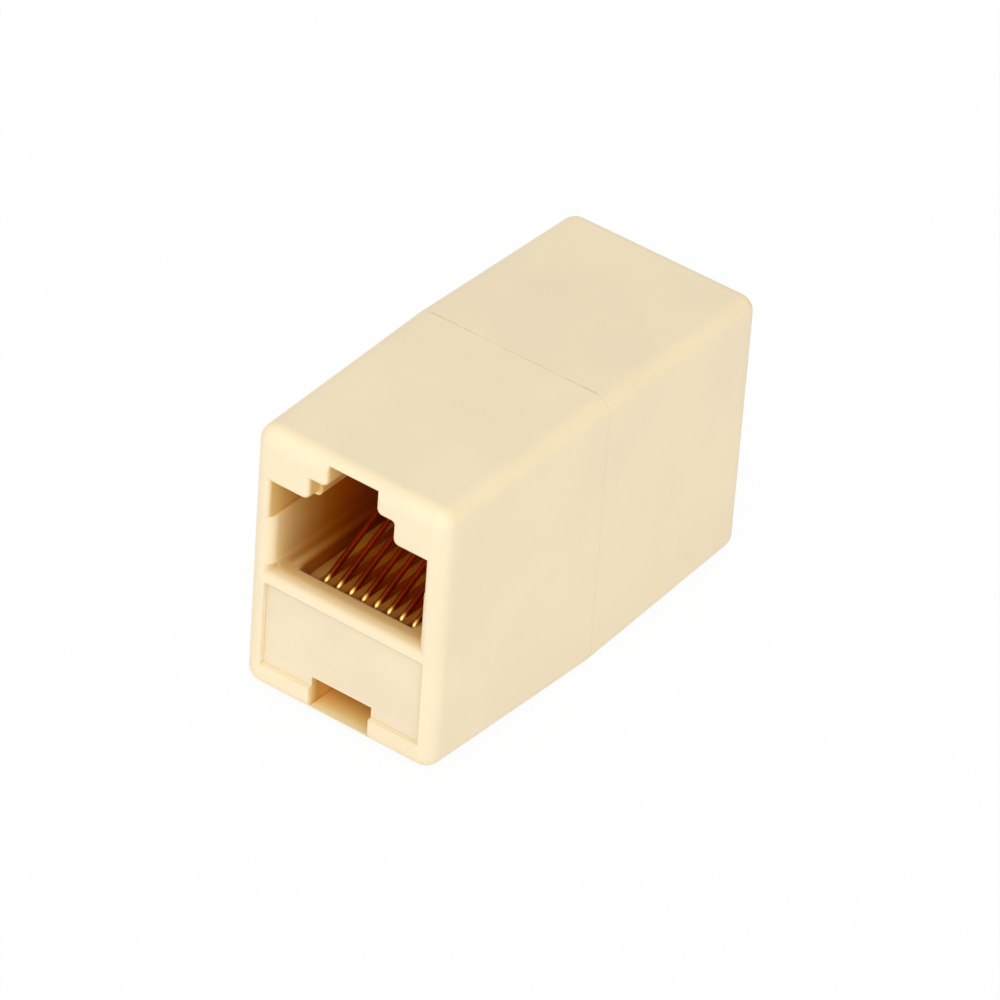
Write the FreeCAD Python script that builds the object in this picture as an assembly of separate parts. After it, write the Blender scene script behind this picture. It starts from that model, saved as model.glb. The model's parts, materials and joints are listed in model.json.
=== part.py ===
import FreeCAD, Part
import math
import os

V = FreeCAD.Vector

# outside of the two housing halves
width = 15.6          # across the sides at the seam
height = 21.2         # base to top at the seam
front_len = 16.8      # front face to the seam
rear_len = 16.4       # rear face to the seam
side_draft = 0.16     # how far each side comes in at the open end
top_draft = 0.41
base_draft = 0.71
edge_round = 1.2
seam_break = 0.04     # small chamfer where the halves meet

# plug opening, the same at both ends
plug_wide = 11.8
plug_floor = 10.2
plug_top = 17.0
groove_wide = 12.4    # wider part of the opening, above the side ledges
groove_floor = 14.2
step_wide = 6.65
step_top = 18.65
latch_wide = 3.85
latch_top = 20.3
aside = 0.2           # step, latch channel, panel and notch sit this far right of the middle
corner_soft = 0.5
step_soft = 0.15
foot_round = 0.5      # where the side walls meet the rails
lead_round = 0.4      # soft front edge all round the opening
mouth_flare = 0.9     # larger lead-in at the sides and over the sill
lip_deep = 1.2
lip_side = 0.25       # the step behind the lip is narrower by this much on each side
lip_under = 0.15      # and the plug opening lower by this much
sill_deep = 1.45
rail_gap = 9.2        # clear width between the two floor rails

# room for the contact insert
panel_wide = 12.7
panel_floor = 2.72
rail_under = 9.15
frame_deep = 1.3
room_wide = 13.3
room_top = 18.2
notch_wide = 4.8
notch_floor = 1.3
notch_top = 3.5
pocket_front = 3.2
pocket_wide = 10.0
pocket_short = 1.5    # the pocket under the insert stops this far from the seam
lap_long = 1.0        # register lip of the rear half inside the front half
lap_thick = 0.5
lap_root = 0.2        # how far the lip is let into its own half
slack = 0.05
seat_slack = 0.02     # round the insert, which is pressed in

# contact insert
panel_recess = 0.3
back_thick = 1.6
back_top = 17.2
post_wide = 1.5
post_high = 2.0
front_gap = 1.7       # free space between the insert and the link board
rear_gap = 1.3
bays = 3
core_top = 6.3
core_wall = 0.8
core_front = 0.9      # solid left in front of the bays, behind the frame
core_back = 0.6
slot_ahead = 0.5      # slots start this far in front of the folds
slot_past = 0.5       # and run on this far into the back wall
tip_slot_deep = 1.0   # slots for the spring tips in the back wall
tip_slot_low = 0.5
tip_slot_drop = 2.0

# contacts
pins = 8
pitch = 1.016
wire = 0.36
wire_sides = 8
slot = 0.5
fold_front = 2.93
fold_round = 0.6
run_high = 7.9
tip_high = 14.236     # middle of the wire at the spring's tip
spring_past = 0.55    # the tips stand this far inside the back wall
tail_drop = 2.54
drop_ahead = 0.6      # every second tail starts to drop this far inside the back wall
tail_slant = 1.3      # length over which every second tail drops
tail_room = 0.5       # free height over and under the tails at the back of the insert

# link board
board_thick = 1.6
board_wide = 12.6
board_top = 17.6

past = 0.1            # overlap of two tools cutting the same hole
out_past = 1.0        # cutting tools run out this far past an open face

overall = front_len + rear_len


def block(x0, x1, y0, y1, z0, z1):
    return Part.makeBox(x1 - x0, y1 - y0, z1 - z0, V(x0, y0, z0))


def mid(wide, y0, y1, z0, z1, at=0):
    return block(at - wide / 2, at + wide / 2, y0, y1, z0, z1)


def traced(points, radii, place, closed):
    # lines through the points, each corner rounded by its radius
    n = len(points)
    ends = []
    edges = []
    for i, (p, r) in enumerate(zip(points, radii)):
        p = place(*p)
        if r <= 0 or (not closed and i in (0, n - 1)):
            ends.append((p, p))
            continue
        a = (place(*points[i - 1]) - p).normalize()
        b = (place(*points[(i + 1) % n]) - p).normalize()
        half = a.getAngle(b) / 2
        reach = r / math.tan(half)
        inward = (a + b).normalize()
        knee = p + inward * (r / math.sin(half) - r)
        start, stop = p + a * reach, p + b * reach
        edges.append((i, Part.Arc(start, knee, stop).toShape()))
        ends.append((start, stop))
    arcs = dict(edges)
    out = []
    for i in range(n):
        if i in arcs:
            out.append(arcs[i])
        if i < n - 1 or closed:
            out.append(Part.makeLine(ends[i][1], ends[(i + 1) % n][0]))
    return Part.Wire(Part.__sortEdges__(out))


def drafted(length):
    # plain drafted body, open end at y = 0, seam at y = length
    corners = []
    for y, k in ((0, 1), (length, 0)):
        x = width / 2 - side_draft * k
        low, high = base_draft * k, height - top_draft * k
        corners.append([V(-x, y, low), V(x, y, low), V(x, y, high), V(-x, y, high)])
    near, far = corners
    sides = [near, far] + [[near[i - 1], near[i], far[i], far[i - 1]] for i in range(4)]
    body = Part.Solid(Part.Shell([Part.Face(Part.makePolygon(q + q[:1])) for q in sides]))
    soft = [e for e in body.Edges if min(v.Y for v in e.Vertexes) < 0.001]
    body = body.makeFillet(edge_round, soft)
    rim = [e for e in body.Edges if min(v.Y for v in e.Vertexes) > length - 0.001]
    return body.makeChamfer(seam_break, rim)


def passage(y0, y1, side_in, top_in):
    # stepped outline of the opening: plug, side grooves, step, latch channel
    ledge = (groove_wide - plug_wide) / 4
    top = plug_top - top_in
    step = step_wide / 2 - side_in
    half = [(0, plug_wide / 2, plug_floor, foot_round), (0, plug_wide / 2, groove_floor, ledge),
            (0, groove_wide / 2, groove_floor, 0), (0, groove_wide / 2, top, 0),
            (aside, step, top, corner_soft), (aside, step, step_top, step_soft),
            (aside, latch_wide / 2, step_top, corner_soft), (aside, latch_wide / 2, latch_top, 0)]
    loop = [(at + x, z, r) for at, x, z, r in half]
    loop += [(at - x, z, r) for at, x, z, r in reversed(half)]
    wire_loop = traced([(x, z) for x, z, r in loop], [r for x, z, r in loop],
                       lambda x, z: V(x, y0, z), True)
    return Part.Face(wire_loop).extrude(V(0, y1 - y0, 0))


def lead_in():
    # the front of the opening with its soft edge
    y = lip_deep
    slab = mid(width, 0, y, plug_floor - lead_round - past, latch_top + lead_round + past)
    rim = slab.cut(passage(-out_past, y + out_past, 0, 0))
    edge = [e for e in rim.Edges if max(v.Y for v in e.Vertexes) < 0.001
            and max(abs(v.X) for v in e.Vertexes) < groove_wide / 2 + 0.001]
    return slab.cut(rim.makeFillet(lead_round, edge))


def mouth():
    # rounded lead-in at the sides and over the sill
    r = mouth_flare
    x = plug_wide / 2 + r
    low = plug_floor - r
    tool = block(-x, x, -out_past, r, low, groove_floor)
    tall = groove_floor - low + 2 * out_past
    long = 2 * (x + out_past)
    for s in (-1, 1):
        tool = tool.cut(Part.makeCylinder(r, tall, V(s * x, r, low - out_past), V(0, 0, 1)))
    return tool.cut(Part.makeCylinder(r, long, V(-x - out_past, r, low), V(1, 0, 0)))


def lap(y0, y1, grow):
    # ring round the room at the seam, used as the lip and as its seat
    outer = room_wide + 2 * lap_thick + 2 * grow
    ring = mid(outer, y0, y1, panel_floor - lap_thick - grow, room_top + lap_thick + grow)
    return ring.cut(mid(room_wide, y0 - out_past, y1 + out_past, panel_floor, room_top))


def shell(length, deep, lipped):
    body = drafted(length)
    end = length + out_past
    cuts = [lead_in(), passage(lip_deep, deep, lip_side, lip_under), mouth(),
            mid(panel_wide, -out_past, frame_deep, panel_floor, rail_under, aside),
            mid(room_wide, frame_deep, end, panel_floor, rail_under),
            mid(rail_gap, sill_deep, deep, rail_under - past, plug_floor + past),
            mid(room_wide, deep, end, panel_floor, room_top),
            mid(pocket_wide, pocket_front, length - pocket_short, notch_floor, panel_floor + past),
            mid(notch_wide, -out_past, pocket_front + past, notch_floor, panel_floor + past, aside)]
    for tool in cuts:
        body = body.cut(tool)
    if lipped:
        return body.fuse(lap(length - lap_root, length + lap_long, 0)).removeSplitter()
    return body.cut(lap(length - lap_long - slack, end, slack))


def pin_x(k):
    return (pins / 2 + 0.5 - k) * pitch


def section(at, aim):
    # flat-sided round section of the wire, square to its run
    side = V(1, 0, 0)
    up = aim.cross(side).normalize()
    spokes = [math.radians(360 / wire_sides * (i + 0.5)) for i in range(wire_sides)]
    rim = wire / 2 / math.cos(math.pi / wire_sides)
    ring = [at + side * (rim * math.cos(a)) + up * (rim * math.sin(a)) for a in spokes]
    return Part.Face(Part.makePolygon(ring + ring[:1]))


def tube(edges):
    # wire along a chain of lines and arcs, mitred where two lines meet at an angle
    turns = [a.tangentAt(a.LastParameter).getAngle(b.tangentAt(b.FirstParameter))
             for a, b in zip(edges, edges[1:])]
    over = [0] + [wire / 2 * math.tan(turn / 2) for turn in turns] + [0]
    out = None
    for e, before, after in zip(edges, over, over[1:]):
        at, aim = e.valueAt(e.FirstParameter), e.tangentAt(e.FirstParameter)
        if hasattr(e.Curve, "Radius"):
            turn = math.degrees(e.Length / e.Curve.Radius)
            piece = section(at, aim).revolve(e.Curve.Center, e.Curve.Axis, turn)
        else:
            piece = section(at - aim * before, aim).extrude(aim * (e.Length + before + after))
        out = out.fuse(piece) if out else piece
    return out.removeSplitter()


def contact(k, length, deep):
    # spring arm, fold behind the sill, run back along its groove, tail in the board
    reach = deep + spring_past
    rise = V(reach - fold_front - fold_round, tip_high - run_high - fold_round, 0)
    up = math.atan2(rise.y, rise.x) - math.asin(fold_round / rise.Length)
    start = fold_front + fold_round - fold_round * math.tan((math.pi - up) / 2)
    back = deep + back_thick - drop_ahead
    path = [(reach, tip_high), (start, run_high)]
    radii = [0, fold_round]
    low = run_high
    if k % 2 == 0:
        low = run_high - tail_drop
        path += [(back, run_high), (back + tail_slant, low)]
        radii += [0, 0]
    path.append((length + board_thick / 2, low))
    radii.append(0)
    return tube(traced(path, radii, lambda y, z: V(pin_x(k), y, z), False).Edges)


def insert(length, deep):
    top = rail_under - seat_slack
    wide = room_wide - 2 * seat_slack
    tail = length - board_thick / 2
    back = deep + back_thick
    body = mid(wide, frame_deep, tail, panel_floor, top)
    body = body.fuse(mid(panel_wide, panel_recess, frame_deep, panel_floor, rail_under, aside))
    body = body.fuse(mid(wide, deep, back, top, back_top))
    for s in (-1, 1):
        x0, x1 = sorted((s * wide / 2, s * (wide / 2 - post_wide)))
        body = body.fuse(block(x0, x1, back, tail, back_top - post_high, back_top))
    body = body.removeSplitter()
    under = panel_floor - out_past
    cuts = [mid(notch_wide, -out_past, pocket_front, under, notch_top, aside)]
    bay = (wide - (bays + 1) * core_wall) / bays
    for i in range(bays):
        x = (i - (bays - 1) / 2) * (bay + core_wall)
        cuts.append(mid(bay, frame_deep + core_front, deep - core_back, under, core_top, x))
    comb_end = deep + slot_past
    for k in range(1, pins + 1):
        x = pin_x(k)
        cuts.append(mid(slot, fold_front - slot_ahead, comb_end, run_high - wire / 2,
                        top + out_past, x))
        cuts.append(mid(slot, deep - out_past, deep + tip_slot_deep, top - tip_slot_low,
                        back_top - tip_slot_drop, x))
    cuts.append(mid(pins * pitch + tail_room, comb_end - past, tail + out_past,
                    run_high - tail_drop - tail_room, run_high + tail_room))
    for tool in cuts:
        body = body.cut(tool)
    return body


def board(wires):
    body = mid(board_wide, -board_thick / 2, board_thick / 2, panel_floor, board_top)
    body.translate(V(0, seam_y, 0))
    for one in wires:
        body = body.cut(one)
    return body


def placed(shape, rear):
    out = shape.copy()
    if rear:
        out.rotate(V(0, 0, 0), V(0, 0, 1), 180)
        out.translate(V(0, overall / 2, 0))
    else:
        out.translate(V(0, -overall / 2, 0))
    return out


seam_y = front_len - overall / 2
os.makedirs("parts", exist_ok=True)
tails = []
for end_name, length, gap, rear in (("front", front_len, front_gap, False),
                                    ("rear", rear_len, rear_gap, True)):
    deep = length - board_thick / 2 - gap - back_thick
    wires = [contact(k, length, deep) for k in range(1, pins + 1)]
    placed(shell(length, deep, rear), rear).exportStep("parts/" + end_name + "_shell.step")
    placed(insert(length, deep), rear).exportStep("parts/" + end_name + "_insert.step")
    for k, one in enumerate(wires, 1):
        one = placed(one, rear)
        one.exportStep("parts/" + end_name + "_contact_" + str(k) + ".step")
        tails.append(one)
board(tails).exportStep("parts/link_board.step")
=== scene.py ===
import json
import math
import bpy
from mathutils import Matrix, Vector


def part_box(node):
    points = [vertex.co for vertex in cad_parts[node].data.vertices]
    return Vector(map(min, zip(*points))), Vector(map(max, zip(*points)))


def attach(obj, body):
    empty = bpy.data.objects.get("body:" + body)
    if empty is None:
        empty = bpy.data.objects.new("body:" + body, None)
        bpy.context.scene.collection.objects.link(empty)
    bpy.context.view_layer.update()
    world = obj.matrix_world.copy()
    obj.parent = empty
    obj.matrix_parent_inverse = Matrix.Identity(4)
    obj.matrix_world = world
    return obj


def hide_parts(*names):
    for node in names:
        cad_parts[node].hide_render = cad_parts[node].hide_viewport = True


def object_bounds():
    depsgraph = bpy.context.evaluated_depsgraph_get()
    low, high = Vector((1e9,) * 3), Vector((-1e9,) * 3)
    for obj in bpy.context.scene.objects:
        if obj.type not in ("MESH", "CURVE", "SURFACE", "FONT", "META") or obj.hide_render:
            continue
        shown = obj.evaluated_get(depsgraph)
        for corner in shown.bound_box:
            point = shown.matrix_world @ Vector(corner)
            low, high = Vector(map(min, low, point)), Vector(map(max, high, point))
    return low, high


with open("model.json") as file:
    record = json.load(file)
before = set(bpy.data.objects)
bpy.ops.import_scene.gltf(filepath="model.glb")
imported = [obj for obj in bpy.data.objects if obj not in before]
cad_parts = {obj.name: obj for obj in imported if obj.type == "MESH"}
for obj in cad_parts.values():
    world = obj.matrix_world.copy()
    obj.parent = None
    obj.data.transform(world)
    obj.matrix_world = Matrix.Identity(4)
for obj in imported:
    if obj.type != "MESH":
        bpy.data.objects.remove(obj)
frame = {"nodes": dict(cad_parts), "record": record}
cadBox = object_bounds()
mm = 0.001
white = (1, 1, 1, 1)


class Socket:
    # one socket of a node tree, so that shader maths reads as plain maths
    def __init__(self, finish, socket):
        self.finish = finish
        self.socket = socket

    def maths(self, operation, *values):
        return self.finish.node("ShaderNodeMath", {"operation": operation}, dict(enumerate(values)))[0]

    def __add__(self, other):
        return self.maths("ADD", self, other)

    def __radd__(self, other):
        return self.maths("ADD", other, self)

    def __sub__(self, other):
        return self.maths("SUBTRACT", self, other)

    def __rsub__(self, other):
        return self.maths("SUBTRACT", other, self)

    def __mul__(self, other):
        return self.maths("MULTIPLY", self, other)

    def __rmul__(self, other):
        return self.maths("MULTIPLY", other, self)

    def __truediv__(self, other):
        return self.maths("DIVIDE", self, other)

    def __rtruediv__(self, other):
        return self.maths("DIVIDE", other, self)

    def size(self):
        return self.maths("ABSOLUTE", self)

    def clamped(self):
        return self.finish.node("ShaderNodeClamp", {}, {"Value": self, "Min": 0.0, "Max": 1.0})[0]

    def stepped(self, low, high):
        # 0 below low, 1 above high, smooth between
        return self.finish.node("ShaderNodeMapRange", {"interpolation_type": "SMOOTHSTEP"},
                                {"Value": self, "From Min": low, "From Max": high})[0]


class Finish:
    # a material, or the world, and the nodes in it
    def __init__(self, owner):
        self.material = bpy.data.materials.new(owner) if isinstance(owner, str) else owner
        self.material.use_nodes = True
        self.nodes = self.material.node_tree.nodes
        self.links = self.material.node_tree.links
        self.shader = self.nodes.get("Principled BSDF")

    def node(self, kind, settings, values):
        made = self.nodes.new(kind)
        for key, value in settings.items():
            if key == "stops":
                ramp = made.color_ramp.elements
                ramp.remove(ramp[1])
                ramp[0].position, ramp[0].color = value[0]
                for place, colour in value[1:]:
                    ramp.new(place).color = colour
            else:
                setattr(made, key, value)
        for key, value in values.items():
            self.plug(made.inputs[key], value)
        return [Socket(self, s) for s in made.outputs if s.enabled]

    def plug(self, socket, value):
        if isinstance(value, Socket):
            self.links.new(value.socket, socket)
        else:
            socket.default_value = value

    def surface(self, **values):
        names = {"colour": "Base Color", "roughness": "Roughness", "metallic": "Metallic",
                 "normal": "Normal", "glow": "Emission Color", "glowStrength": "Emission Strength"}
        for key, value in values.items():
            self.plug(self.shader.inputs[names[key]], value)

    def place(self):
        # position on the object in metres, fixed to the part
        return self.node("ShaderNodeTexCoord", {}, {})[3]

    def split(self, vector):
        return self.node("ShaderNodeSeparateXYZ", {}, {"Vector": vector})

    def seen(self):
        # 1 where the camera looks straight, in a reflection or through something clear
        path = self.node("ShaderNodeLightPath", {}, {})
        camera, glossy, clear = path[0], path[3], path[6]
        return (camera + glossy + clear).clamped()

    def noise(self, vector, scale, detail):
        return self.node("ShaderNodeTexNoise", {}, {"Vector": vector, "Scale": scale, "Detail": detail})[0]

    def blend(self, share, first, second, kind="MIX"):
        return self.node("ShaderNodeMix", {"data_type": "RGBA", "blend_type": kind},
                         {0: share, 6: first, 7: second})[0]

    def tinted(self, share, base, tint):
        return self.blend(share, base, tint, "MULTIPLY")

    def ramp(self, value, stops, reach):
        # colours at places from 0 to reach
        stops = [(place / reach, colour + (1,)) for place, colour in stops]
        return self.node("ShaderNodeValToRGB", {"stops": stops}, {"Fac": (value / reach).clamped()})[0]

    def bump(self, height, relief, edge):
        # surface relief, strength and depth, on a normal whose sharp corners are rounded by edge
        soft = self.node("ShaderNodeBevel", {"samples": 6}, {"Radius": edge})[0]
        return self.node("ShaderNodeBump", {}, {"Strength": relief[0], "Distance": relief[1],
                                                "Height": height, "Normal": soft})[0]


def rgb(red, green, blue):
    # display values 0 to 255 to scene colour
    def line(v):
        v = v / 255
        return v / 12.92 if v <= 0.04045 else ((v + 0.055) / 1.055) ** 2.4
    return (line(red), line(green), line(blue), 1.0)


def depthOf(along):
    # mm behind the nearer end face
    return (cadBox[1][1] - along.size()) / mm


def addObject(name, mesh):
    made = bpy.data.objects.new(name, mesh)
    bpy.context.scene.collection.objects.link(made)
    return made


# camera: place in mm, angles in degrees, lens and sensor in mm, clipping in metres
view = {"place": (235.2, -336.0, 309.5), "azimuth": 35.0, "elevation": 36.17, "roll": 4.25,
        "lens": 284.04, "sensor": 36, "near": 0.01, "far": 10}


def makeCamera():
    data = bpy.data.cameras.new("camera")
    data.lens = view["lens"]
    data.sensor_width = view["sensor"]
    data.clip_start = view["near"]
    data.clip_end = view["far"]
    camera = addObject("camera", data)
    around, up = math.radians(view["azimuth"]), math.radians(view["elevation"])
    back = Vector((math.sin(around) * math.cos(up), -math.cos(around) * math.cos(up), math.sin(up)))
    turn = back.to_track_quat("Z", "Y").to_matrix() @ Matrix.Rotation(math.radians(view["roll"]), 3, "Z")
    camera.matrix_world = Matrix.Translation(Vector(view["place"]) * mm) @ turn.to_4x4()
    bpy.context.scene.camera = camera
    print("camera set")


# floor and light in metres and watts: each lamp has its name, place, size and power
studio = {"floorColour": (0.95, 0.95, 0.95, 1.0), "floorRoughness": 0.9, "floorReach": 0.6,
          "floorShare": 0.05,  # how much of the floor's own shading the camera sees
          "worldStrength": 0.56,
          "lamps": [("key", (0.35, -0.445, 0.42), 1.3, 4.35), ("fill", (-0.42, -0.42, 0.38), 1.2, 1.35)]}


def makeWorld():
    world = bpy.data.worlds.new("studio")
    bpy.context.scene.world = world
    sky = Finish(world)
    ground = sky.nodes["Background"]
    ground.inputs["Color"].default_value = white
    # full white to look at, and dimmer as light
    dim = studio["worldStrength"]
    sky.plug(ground.inputs["Strength"], sky.seen() * (1 - dim) + dim)


def makeFloor():
    mesh = bpy.data.meshes.new("floor")
    reach = studio["floorReach"]
    corners = [(-reach, -reach, 0), (reach, -reach, 0), (reach, reach, 0), (-reach, reach, 0)]
    mesh.from_pydata(corners, [], [(0, 1, 2, 3)])
    floor = addObject("floor", mesh)
    paint = Finish("floorPaint")
    paint.surface(colour=studio["floorColour"], roughness=studio["floorRoughness"])
    glow = paint.node("ShaderNodeEmission", {}, {"Color": white, "Strength": 1.0})[0]
    both = paint.node("ShaderNodeMixShader", {}, {0: paint.seen() * (1 - studio["floorShare"]),
                                                  1: Socket(paint, paint.shader.outputs[0]), 2: glow})[0]
    paint.plug(paint.nodes["Material Output"].inputs["Surface"], both)
    mesh.materials.append(paint.material)


def makeLamps():
    for name, at, size, power in studio["lamps"]:
        lamp = bpy.data.lights.new(name, "AREA")
        lamp.shape = "DISK"
        lamp.size = size
        lamp.energy = power
        made = addObject(name + "Lamp", lamp)
        made.location = at
        made.rotation_euler = Vector(at).to_track_quat("Z", "Y").to_euler()
    print("studio lit")


# Inside a jack, painted shade stands for the light lost on the way in, and values over 1 are painted
# light near the mouth. Each pair of numbers is where a painted tint starts and ends in mm: "wide" from the
# middle, "high" from the foot,
# "deep" from the end face. "wall" and "comb" give what is left of red, green and blue at each depth.
jack = {
    "reach": 14.0,
    "wall": [(0.0, (1.0, 1.0, 1.0)), (0.3, (1.04, 1.03, 0.99)), (0.6, (1.08, 1.04, 0.89)),
             (1.0, (1.06, 0.95, 0.66)), (1.6, (0.97, 0.77, 0.48)), (2.5, (0.84, 0.61, 0.31)),
             (4.0, (0.74, 0.42, 0.12)), (6.0, (0.61, 0.24, 0.008)), (8.0, (0.58, 0.15, 0.004)),
             (10.0, (0.54, 0.13, 0.01)), (12.4, (0.5, 0.2, 0.05))],
    "comb": [(0.0, (1.0, 1.0, 1.0)), (1.4, (0.95, 0.9, 0.75)), (2.2, (0.8, 0.63, 0.4)),
             (2.55, (0.45, 0.19, 0.06)), (3.0, (0.5, 0.26, 0.055)), (4.2, (0.44, 0.22, 0.028)),
             (5.2, (0.42, 0.14, 0.014)), (7.0, (0.65, 0.33, 0.012)), (10.0, (0.6, 0.24, 0.03)),
             (12.4, (0.6, 0.3, 0.1))],
    # the room that gets the painted shade, clear of the outer walls and of the rounded lip over the mouth
    "wide": (6.25, 6.4), "low": (1.0, 1.2), "high": (20.27, 20.33),
    "lip": (20.05, 20.15), "lipDeep": (0.35, 0.5)}

# painted shade low on the side walls
lowWallShade = {"colour": (0.92, 0.89, 0.87, 1), "high": (10.5, 12.8), "deep": (0.8, 2.2)}
# painted shade on the sill at the mouth, and behind it painted shade on the rails, lighter and darker in
# bands by distance from the middle
sillShade = {"colour": (0.79, 0.7, 0.6, 1), "high": (10.35, 10.6), "deep": (0.0, 0.45), "behind": (1.4, 2.0),
        "railReach": 7.0,
        "rail": [(4.55, (0.52, 0.22, 0.035)), (4.75, (0.64, 0.44, 0.2)), (4.95, (0.85, 0.83, 0.9)),
                 (5.2, (0.86, 0.85, 0.85)), (5.4, (0.7, 0.64, 0.5)), (5.6, (0.68, 0.53, 0.33)),
                 (5.9, (0.9, 0.75, 0.7))]}
# painted shade in the groove along each side wall
grooveShade = {"colour": (0.95, 0.82, 0.53, 1), "wide": (5.95, 6.1), "high": (14.1, 14.25), "deep": (0.1, 0.3)}
# painted shade on the shoulder step and the latch channel over it, at the mouth
latchShade = {"colour": (0.9, 0.78, 0.56, 1), "wide": (3.5, 3.6), "high": (17.0, 17.2), "deep": (0.1, 0.3),
         "fade": (2.5, 3.5)}
# the window frame round the insert gets no painted shade and keeps its full colour
window = {"high": (9.25, 9.4), "deep": (0.4, 0.6)}
# painted light on the comb beside the wires
besideLight = {"colour": (1.4, 1.85, 3.2, 1), "wide": (3.75, 3.95), "deep": (2.0, 2.8)}
# painted light near the front of the notch floor, painted shade deeper in, on its walls and on the insert
# behind its panel; middle in mm to the right of the jack's
notch = {"middle": 0.2, "high": (3.55, 3.6), "wall": (2.3, 2.35), "wide": (2.42, 2.45),
         "floor": [(0.0, (1.0, 1.0, 1.0)), (0.1, (1.08, 1.08, 1.02)), (0.5, (1.16, 1.16, 0.92)),
                   (1.0, (1.2, 1.04, 0.58)), (2.0, (1.33, 0.92, 0.37)), (3.2, (1.2, 0.76, 0.2)),
                   (6.0, (0.6, 0.2, 0.03))],
         "walls": [(0.1, (1.05, 1.05, 1.0)), (0.4, (0.9, 0.72, 0.53)), (0.8, (0.74, 0.54, 0.33)),
                   (1.0, (0.68, 0.48, 0.26)), (2.0, (0.9, 0.8, 0.7))],
         # behind: painted shade on the insert behind its panel
         "behind": (0.5, 0.3, 0.12, 1), "behindDeep": (1.4, 1.7)}  # the insert behind its panel


def wallPaintedShading(made, wide, high, deep):
    # painted shade on the walls, sill, rails, groove and latch channel, with painted light near the mouth
    tint = made.ramp(deep, jack["wall"], jack["reach"])
    onSill = 1 - high.stepped(*sillShade["high"])
    share = (1 - high.stepped(*lowWallShade["high"])) * (1 - onSill) * deep.stepped(*lowWallShade["deep"])
    tint = made.tinted(share, tint, lowWallShade["colour"])
    behindSill = deep.stepped(*sillShade["behind"])
    tint = made.tinted(onSill * deep.stepped(*sillShade["deep"]) * (1 - behindSill), tint, sillShade["colour"])
    tint = made.tinted(onSill * behindSill, tint, made.ramp(wide, sillShade["rail"], sillShade["railReach"]))
    share = wide.stepped(*grooveShade["wide"]) * high.stepped(*grooveShade["high"]) * deep.stepped(*grooveShade["deep"])
    tint = made.tinted(share, tint, grooveShade["colour"])
    share = (1 - wide.stepped(*latchShade["wide"])) * high.stepped(*latchShade["high"]) * deep.stepped(*latchShade["deep"])
    tint = made.tinted(share * (1 - deep.stepped(*latchShade["fade"])), tint, latchShade["colour"])
    framing = (1 - high.stepped(*window["high"])) * (1 - deep.stepped(*window["deep"]))
    return made.blend(framing, tint, white)


def combPaintedShading(made, wide, deep):
    # painted shade on the comb by depth, with painted light beside the wires
    tint = made.ramp(deep, jack["comb"], jack["reach"])
    share = wide.stepped(*besideLight["wide"]) * deep.stepped(*besideLight["deep"])
    return made.tinted(share, tint, besideLight["colour"])


def notchPaintedShading(made, x, y, deep):
    # painted light and painted shade in the notch under the jack
    # turned is 1 at the front jack and -1 at the rear one, where right and left change places
    turned = 1 - y.maths("GREATER_THAN", y, housing["seamAt"] * mm) * 2
    aside = (x / mm * turned - notch["middle"]).size()
    walls = made.ramp(deep, notch["walls"], jack["reach"])
    tint = made.blend(aside.stepped(*notch["wall"]), white, walls)
    tint = made.tinted(1.0, made.ramp(deep, notch["floor"], jack["reach"]), tint)
    return made.blend(aside.stepped(*notch["wide"]), tint, white)


def jackPaintedShading(made, at, kind):
    # painted shade and painted light on the plastic in the jacks and in the notches under them
    x, y, z = made.split(at)
    wide, high, deep = x.size() / mm, z / mm, depthOf(y)
    foot = notchPaintedShading(made, x, y, deep)
    if kind == "wall":
        tint = wallPaintedShading(made, wide, high, deep)
    else:
        tint = combPaintedShading(made, wide, deep)
        foot = made.blend(deep.stepped(*notch["behindDeep"]), foot, notch["behind"])
    tint = made.blend(high.stepped(*notch["high"]), foot, tint)
    room = (1 - wide.stepped(*jack["wide"])) * high.stepped(*jack["low"])
    room = room * (1 - high.stepped(*jack["high"]))
    lip = high.stepped(*jack["lip"]) * (1 - deep.stepped(*jack["lipDeep"]))
    return made.blend(room * (1 - lip), white, tint)


# Plastics: "patch" and "grain" are a noise's scale and detail, "relief" the grain's strength and
# depth, "edge" the radius in metres that small corners are rounded by.
patchSoft = (0.35, 0.65)  # where in the noise one shade gives way to the other

# cream plastic of the housing halves
housing = {"colour": rgb(242, 225, 189), "cooler": rgb(239, 222, 187), "patch": (160, 3), "roughness": 0.38,
           "roughSpread": 0.08, "grain": (7000, 2), "relief": (0.25, 0.000004), "edge": 0.00012,
           # the joint of the halves: mm behind the middle, half its width, and where it is worn
           "seamAt": 0.2, "seamWide": 0.11, "seam": (0.82, 0.78, 0.72, 1), "worn": (420, 2),
           "wornSoft": (0.35, 0.6), "wornWide": (6.5, 6.8), "faintWide": (0.5, 3.5), "faint": 0.5,
           # painted highlights on the long upper edges and on the rounded lip over each jack
           "edgeHighlight": (1.03, 1.01, 0.955, 1), "edgeWide": (6.5, 7.4), "edgeHigh": (19.6, 20.6),
           "lip": (1.05, 1.04, 1.0, 1), "lipHigh": (20.3, 20.6), "lipDeep": (0.9, 1.5)}


def patches(made, at, look):
    # two close shades of one plastic, and the noise between them
    patch = made.noise(at, *look["patch"])
    return patch, made.blend(patch.stepped(*patchSoft), look["colour"], look["cooler"])


def moulded(made, at, look, patch, **more):
    grain = made.noise(at, *look["grain"])
    made.surface(roughness=patch * look["roughSpread"] + look["roughness"],
                 normal=made.bump(grain, look["relief"], look["edge"]), **more)


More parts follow.
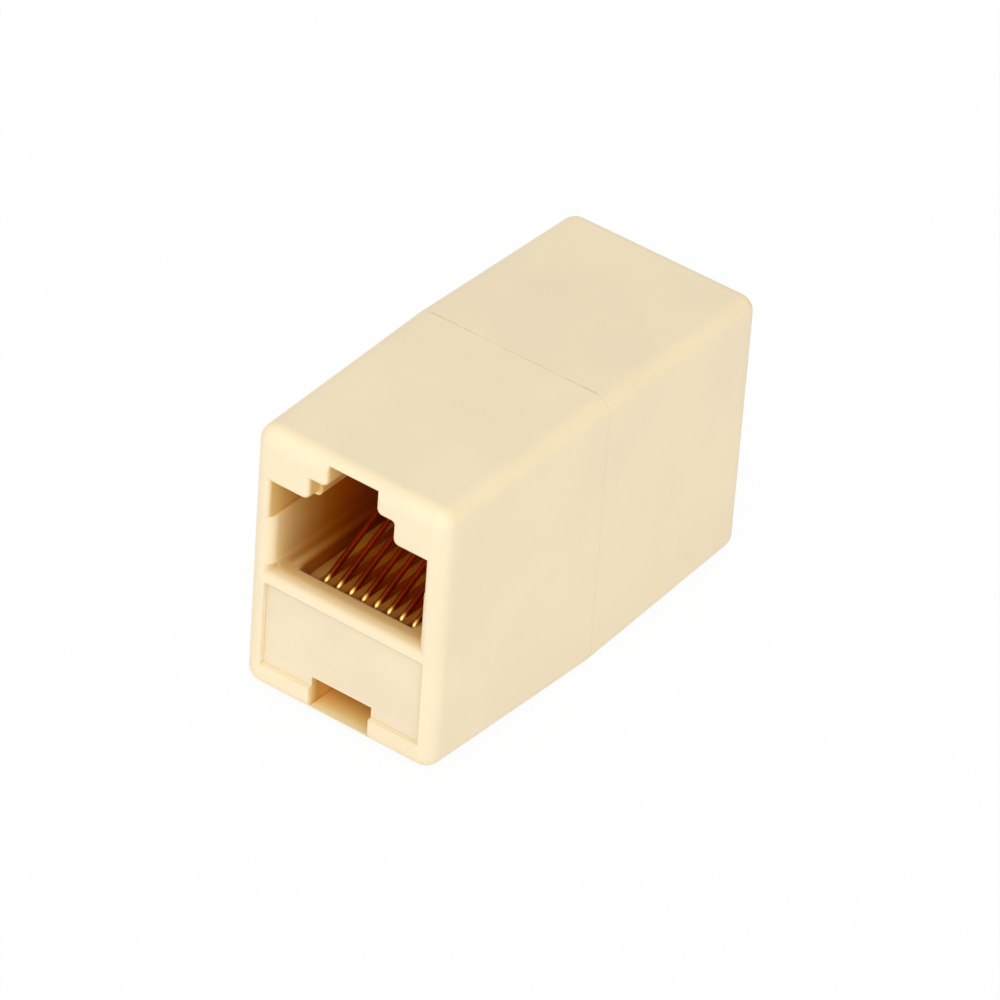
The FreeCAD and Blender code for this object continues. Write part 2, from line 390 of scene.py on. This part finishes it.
def housingCream():
    made = Finish("housingCream")
    at = made.place()
    patch, colour = patches(made, at, housing)
    x, y, z = made.split(at)
    wide, high, deep = x.size() / mm, z / mm, depthOf(y)
    line = 1 - (y / mm - housing["seamAt"]).size().stepped(0.0, housing["seamWide"])
    # the joint shows on the flat top and foot and closes up round the long edges
    worn = made.noise(at, *housing["worn"]).stepped(*housing["wornSoft"])
    worn = worn * (1 - wide.stepped(*housing["wornWide"]))
    worn = worn * (wide.stepped(*housing["faintWide"]) * (1 - housing["faint"]) + housing["faint"])
    colour = made.tinted(line * worn, colour, housing["seam"])
    # painted highlight along the long upper edges
    edge = wide.stepped(*housing["edgeWide"]) * high.stepped(*housing["edgeHigh"])
    colour = made.tinted(edge, colour, housing["edgeHighlight"])
    # painted highlight on the rounded lip over each jack
    lip = high.stepped(*housing["lipHigh"]) * (1 - deep.stepped(*housing["lipDeep"]))
    colour = made.tinted(lip, colour, housing["lip"])
    # painted shade and painted light inside the jacks
    moulded(made, at, housing, patch, colour=made.tinted(1.0, colour, jackPaintedShading(made, at, "wall")))
    return made.material


# pressed-in insert, a slightly duller batch of the same plastic
insert = {"colour": rgb(235, 221, 191), "cooler": rgb(232, 217, 188), "patch": (220, 3), "roughness": 0.45,
          "roughSpread": 0.08, "grain": (6000, 2), "relief": (0.3, 0.000005), "edge": 0.00008,
          # painted glow on the comb that lifts its shadows, standing in for light through the thin walls,
          # by depth in mm
          "glow": [(2.5, (0.0, 0.0, 0.0)), (3.2, (0.03, 0.003, 0.0)), (5.0, (0.045, 0.003, 0.0)),
                   (8.0, (0.04, 0.003, 0.0)), (11.0, (0.006, 0.001, 0.0))]}


def insertCream():
    made = Finish("insertCream")
    at = made.place()
    patch, colour = patches(made, at, insert)
    deep = depthOf(made.split(at)[1])
    # painted shade and painted light inside the jacks
    moulded(made, at, insert, patch, colour=made.tinted(1.0, colour, jackPaintedShading(made, at, "comb")),
            glow=made.ramp(deep, insert["glow"], jack["reach"]), glowStrength=1.0)
    # the glow is too faint to light anything else
    made.material.cycles.emission_sampling = "NONE"
    return made.material


# gold over copper wire, by depth in mm: a painted highlight at the folds, and painted shade that darkens it
# to red where it is out of the light
gold = {"stops": [(2.9, (1.0, 0.73, 0.25)), (3.2, (0.96, 0.64, 0.17)), (3.38, (0.42, 0.12, 0.01)),
                  (3.6, (0.37, 0.07, 0.008)), (4.5, (0.34, 0.045, 0.006)), (6.0, (0.62, 0.11, 0.012)),
                  (9.0, (0.75, 0.16, 0.02))],
        "reach": 12.0, "roughness": 0.27, "roughSpread": 0.14,
        # streaks drawn along the wire: noise per metre each way, its detail, strength and depth
        "streaks": (4000, 250, 250), "detail": 3, "strength": 0.1, "depth": 0.00001}


def goldPlate():
    made = Finish("goldPlate")
    at = made.place()
    colour = made.ramp(depthOf(made.split(at)[1]), gold["stops"], gold["reach"])
    long = made.node("ShaderNodeVectorMath", {"operation": "MULTIPLY"}, {0: at, 1: gold["streaks"]})[0]
    streak = made.noise(long, 1.0, gold["detail"])
    relief = made.node("ShaderNodeBump", {}, {"Strength": gold["strength"], "Distance": gold["depth"],
                                              "Height": streak})[0]
    made.surface(colour=colour, metallic=1.0, roughness=streak * gold["roughSpread"] + gold["roughness"],
                 normal=relief)
    return made.material


# drawn wire contacts: spring arm, fold, run back and tail, in mm from the end face; "thick" is the
# packed wire's own thickness and "drawn" the one that shows
contact = {"thick": 0.36, "drawn": 0.42, "runHigh": 7.9, "bend": 0.6, "tipHigh": 14.236, "tipAt": 13.25,
           "nose": 2.93, "dropAt": 13.7, "dropLong": 1.3,
           "handle": 0.3, "lean": 0.2, "sides": 4, "steps": 16}  # how smoothly it bends


def wireBends(tail, tailHigh):
    # each point of one wire with its handles before and after, as depth and height
    bend = contact["bend"]
    turn = Vector((contact["nose"] + bend, contact["runHigh"] + bend))
    tip = Vector((contact["tipAt"], contact["tipHigh"]))
    rise = math.atan2(tip.y - turn.y, tip.x - turn.x) - math.asin(bend / (tip - turn).length)
    away = Vector((math.cos(rise), math.sin(rise)))
    lift = turn + Vector((-away.y, away.x)) * bend
    hook = 4 / 3 * math.tan((math.pi - rise) / 4) * bend  # handles that make the fold a round arc
    flat = Vector((turn.x, contact["runHigh"]))
    handle = Vector((contact["handle"], 0))
    points = [(tip - away, tip, tip - away), (lift + away, lift, lift - away * hook),
              (flat - Vector((hook, 0)), flat, flat + Vector((1, 0)))]
    if tailHigh < contact["runHigh"] - contact["thick"]:
        drop = Vector((contact["dropAt"], contact["runHigh"]))
        down = Vector((drop.x + contact["dropLong"], tailHigh))
        lean = (down - drop) * contact["lean"]
        points += [(drop - handle, drop, drop + lean), (down - lean, down, down + handle)]
    end = Vector((tail, tailHigh))
    points.append((end - handle, end, end))
    return points


def bentWire(name, finish):
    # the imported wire's box gives its side place and its tail, the dict its bends
    low, high = [[c / mm for c in corner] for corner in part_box(name)]
    rear = name.startswith("rear")
    face = cadBox[1][1] / mm
    points = wireBends(face + (-low[1] if rear else high[1]), low[2] + contact["thick"] / 2)
    data = bpy.data.curves.new(name + "Wire", "CURVE")
    data.dimensions = "3D"
    data.bevel_depth = contact["drawn"] / 2 * mm
    data.bevel_resolution = contact["sides"]
    data.resolution_u = contact["steps"]
    data.use_fill_caps = True
    run = data.splines.new("BEZIER")
    run.bezier_points.add(len(points) - 1)
    for point, spots in zip(run.bezier_points, points):
        placed = []
        for spot in spots:
            y = spot.x - face
            placed.append(Vector(((low[0] + high[0]) / 2, -y if rear else y, spot.y)) * mm)
        point.handle_left_type = point.handle_right_type = "FREE"
        point.handle_left, point.co, point.handle_right = placed
    data.materials.append(finish)
    wire = addObject(name + "Wire", data)
    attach(wire, "root")
    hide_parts(name)


# link board: solder mask with bare pads round the tails, sizes in mm
board = {"mask": rgb(16, 84, 48), "maskLight": rgb(26, 104, 60), "pad": rgb(214, 170, 92), "pitch": 1.016,
         "rows": (7.9, 5.36), "padRound": 0.62, "padSharp": 0.8, "roughness": 0.32,
         "weave": (900, 3), "weaveSoft": (0.4, 0.6), "weaveHigh": 0.2, "relief": (0.2, 0.00003),
         "edge": 0.0001,
         "high": 18.19, "rim": 0.1}  # it is drawn up to high, from the corners within rim of its top


def solderMask():
    made = Finish("solderMask")
    at = made.place()
    x, y, z = made.split(at)
    pads = 0
    for i, row in enumerate(board["rows"]):
        # the two rows of pads are half a step apart
        aside = x / mm - board["pitch"] * (0.5 - i)
        across = aside.maths("PINGPONG", aside, board["pitch"])
        up = z / mm - row
        far = across * across + up * up
        ring = board["padRound"] ** 2
        pads = 1 - far.stepped(ring * board["padSharp"], ring) + pads
    pads = pads.clamped()
    weave = made.noise(at, *board["weave"])
    mask = made.blend(weave.stepped(*board["weaveSoft"]), board["mask"], board["maskLight"])
    made.surface(colour=made.blend(pads, mask, board["pad"]), metallic=pads, roughness=board["roughness"],
                 normal=made.bump(pads + weave * board["weaveHigh"], board["relief"], board["edge"]))
    return made.material


def tallBoard(name, finish):
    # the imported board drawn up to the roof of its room, so that no light passes over it
    packed = frame["nodes"][name]
    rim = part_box(name)[1][2] - board["rim"] * mm
    made = addObject(name + "Tall", packed.data.copy())
    made.matrix_world = packed.matrix_world.copy()
    for vertex in made.data.vertices:
        if vertex.co.z > rim:
            vertex.co.z = board["high"] * mm
    made.data.materials.clear()
    made.data.materials.append(finish)
    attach(made, "root")
    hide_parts(name)


def dress():
    finishes = {"housing": housingCream(), "insert": insertCream(), "contact_gold": goldPlate(),
                "board": solderMask()}
    slots = {part["node"]: part["material_slot"] for part in frame["record"]["subparts"]}
    wires = 0
    for name, node in frame["nodes"].items():
        finish = finishes[slots[name]]
        node.data.materials.clear()
        node.data.materials.append(finish)
        if slots[name] == "contact_gold":
            bentWire(name, finish)
            wires += 1
        elif slots[name] == "board":
            tallBoard(name, finish)
    print("materials on", len(frame["nodes"]), "pieces,", wires, "wires drawn")


makeCamera()
makeWorld()
makeFloor()
makeLamps()
dress()
bpy.context.scene.view_settings.view_transform = "Standard"
